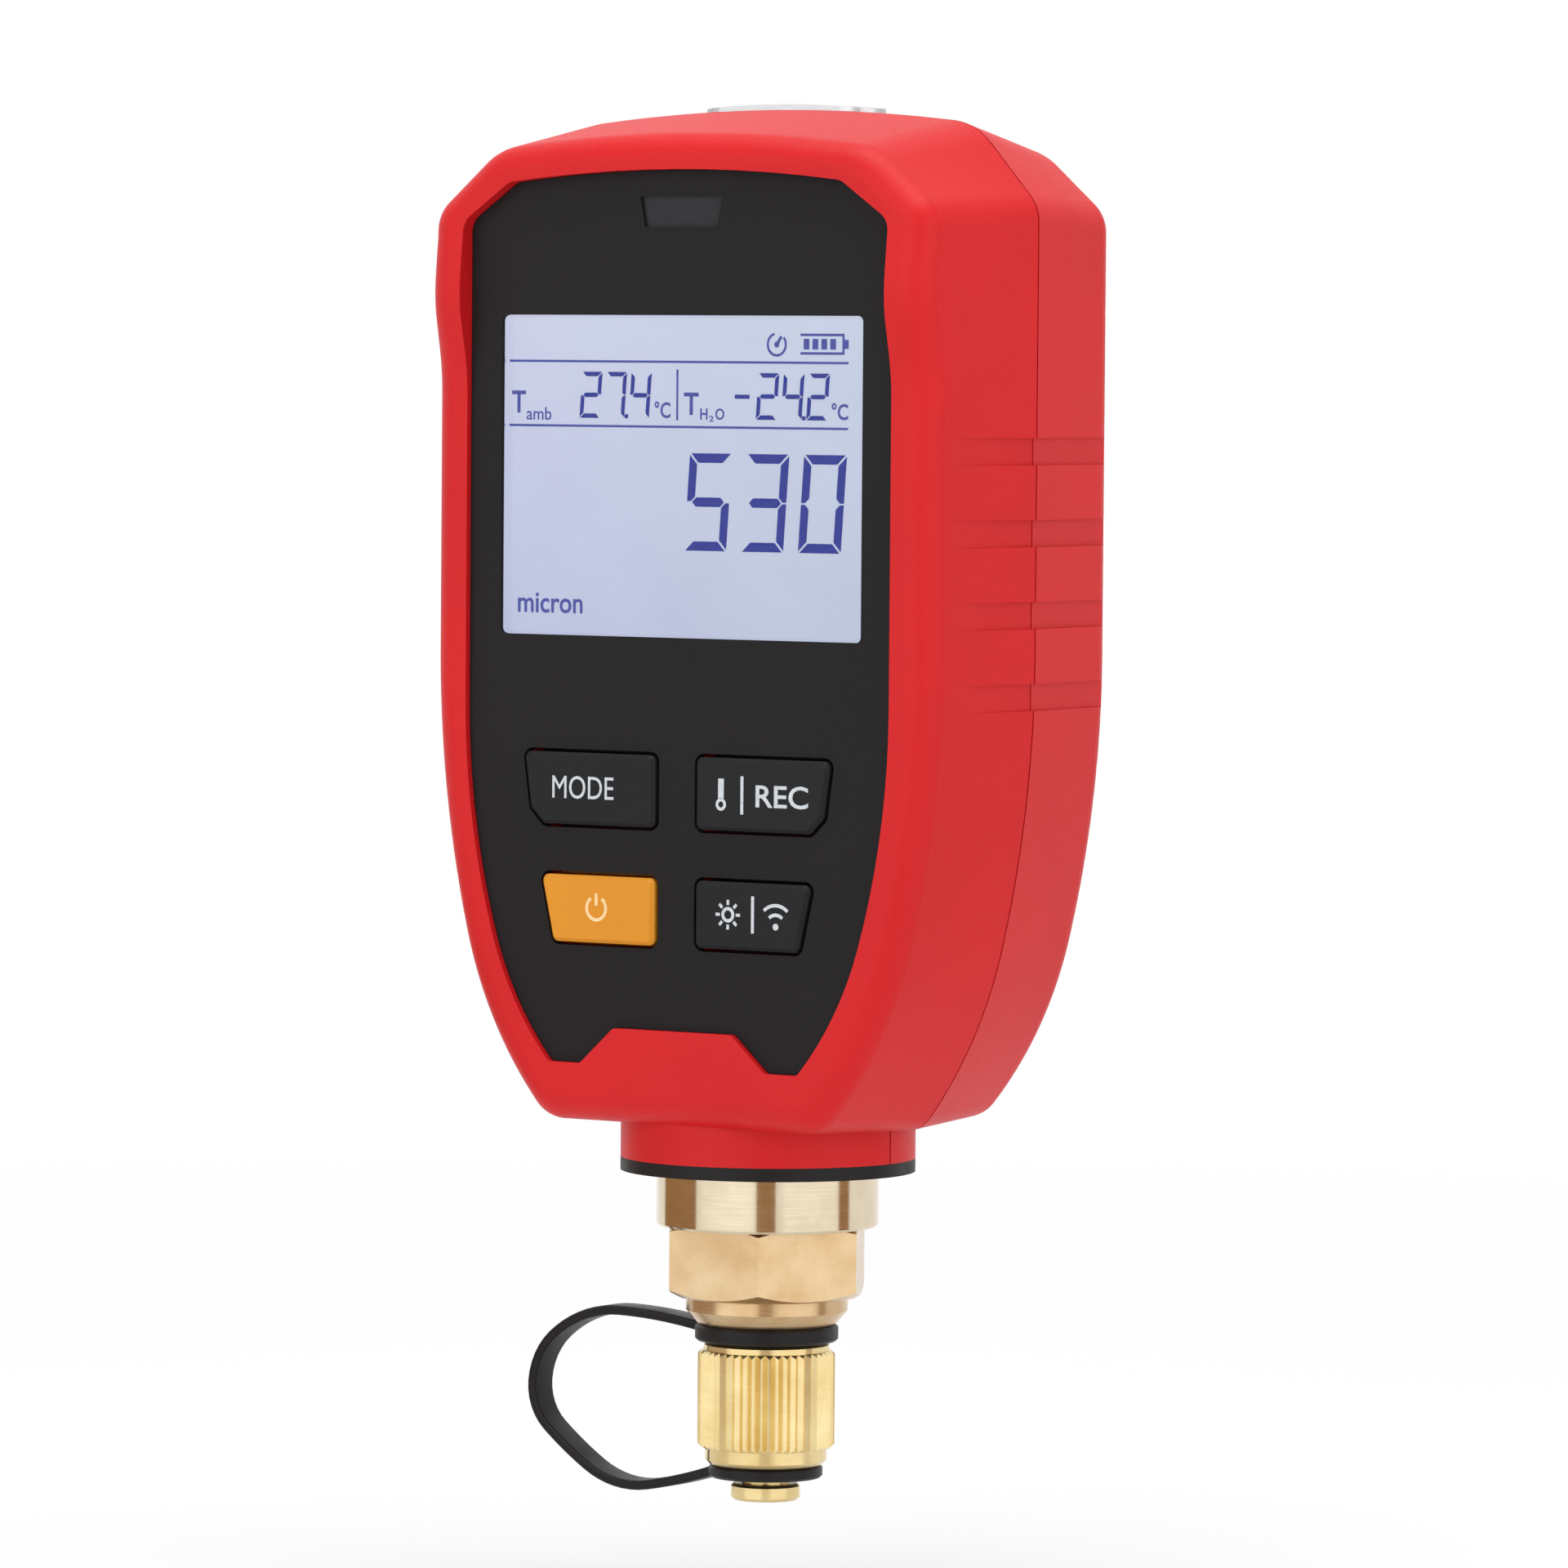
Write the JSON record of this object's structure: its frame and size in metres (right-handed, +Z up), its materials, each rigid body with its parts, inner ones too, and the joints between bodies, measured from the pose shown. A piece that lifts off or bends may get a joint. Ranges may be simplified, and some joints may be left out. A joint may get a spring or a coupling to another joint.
{
  "type": "wireless vacuum gauge",
  "caption": "Handheld digital vacuum gauge: red two-shell body with a lit display and keys, on a brass flare fitting with a knurled cap on a strap.",
  "frame": {"origin": "centre of the flare's tip, on the port axis at the fitting's lower end", "axes": "+Z up along the port axis through the body, -Y out of the display, +X to the right of someone facing the display"},
  "size_m": [0.0638, 0.0349, 0.1419],
  "materials": {
    "red_plastic": "fine spark-eroded texture, moulded ABS",
    "panel_black": "satin black moulded plate",
    "clear_window": "clear polycarbonate window",
    "smoked_lens": "smoked translucent lens",
    "grey_silicone": "soft moulded silicone",
    "display_glass": "lit liquid crystal display",
    "backlight_white": "white light guide",
    "black_plastic": "moulded black plastic",
    "board_green": "solder-masked glass-fibre board",
    "lamp_lens": "water-clear lamp lens",
    "bright_steel": "plated steel",
    "chip_black": "moulded package",
    "cell_wrap": "plain printed sleeve over steel",
    "black_rubber": "soft black rubber",
    "turned_brass": "bright turned brass",
    "fitting_brass": "warm machined brass with fine feed marks",
    "sintered_bronze": "porous sintered bronze",
    "lead_film": "polyimide ribbon",
    "magnet_steel": "plated steel, lightly brushed",
    "magnet_core": "sintered magnet",
    "black_key": "satin black keycap",
    "orange_key": "satin orange keycap",
    "strap_black": "moulded flexible strap",
    "cap_brass": "turned brass with a straight knurl"
  },
  "bodies": {
    "housing": {"front_shell": "red_plastic", "back_shell": "red_plastic", "front_panel": "panel_black", "display_window": "clear_window", "indicator_lens": "smoked_lens", "keypad_mat": "grey_silicone", "display_glass": "display_glass", "display_backlight": "backlight_white", "display_frame": "black_plastic", "contact_strip": "grey_silicone", "main_board": "board_green", "indicator_lamp": "lamp_lens", "buzzer": "black_plastic", "radio_module": "board_green", "radio_shield": "bright_steel", "main_chip": "chip_black", "battery_cells": "cell_wrap", "battery_contacts_lower": "bright_steel", "battery_contacts_upper": "bright_steel", "battery_door": "red_plastic", "door_screw": "bright_steel", "shell_screws": "bright_steel", "neck_gasket": "black_rubber", "sensor_collar": "turned_brass", "flare_fitting": "fitting_brass", "inlet_filter": "sintered_bronze", "sensor_seal": "black_rubber", "sensor_element": "bright_steel", "sensor_retainer": "turned_brass", "sensor_board": "board_green", "sensor_lead": "lead_film", "magnet_cup": "magnet_steel", "magnet": "magnet_core"},
    "mode_key": {"mode_key": "black_key"},
    "record_key": {"record_key": "black_key"},
    "power_key": {"power_key": "orange_key"},
    "light_key": {"light_key": "black_key"},
    "tether": {"cap_tether": "strap_black"},
    "cap_carrier": {"cap_seal": "black_rubber"},
    "cap": {"flare_cap": "cap_brass"}
  },
  "joints": [
    {"name": "mode_key_press", "type": "slide", "parent": "housing", "child": "mode_key", "axis": [0, 1, 0], "range_m": [0, 0.0006], "stiffness_N_per_m": 1500},
    {"name": "record_key_press", "type": "slide", "parent": "housing", "child": "record_key", "axis": [0, 1, 0], "range_m": [0, 0.0006], "stiffness_N_per_m": 1500},
    {"name": "power_key_press", "type": "slide", "parent": "housing", "child": "power_key", "axis": [0, 1, 0], "range_m": [0, 0.0006], "stiffness_N_per_m": 1500},
    {"name": "light_key_press", "type": "slide", "parent": "housing", "child": "light_key", "axis": [0, 1, 0], "range_m": [0, 0.0006], "stiffness_N_per_m": 1500},
    {"name": "tether_swivel", "type": "hinge", "parent": "housing", "child": "tether", "pos_m": [0, 0, 0.0108], "axis": [0, 0, 1], "continuous": true},
    {"name": "cap_lift", "type": "slide", "parent": "tether", "child": "cap_carrier", "axis": [0, 0, -1], "range_m": [0, 0.0102], "deforming": ["cap_tether"]},
    {"name": "cap_turn", "type": "hinge", "parent": "cap_carrier", "child": "cap", "pos_m": [0, 0, 0], "axis": [0, 0, -1], "range_deg": [0, 2880]}
  ],
  "couplings": [
    {"joint": "cap_lift", "follows": "cap_turn", "m_per_rad": 0.00020213}
  ]
}
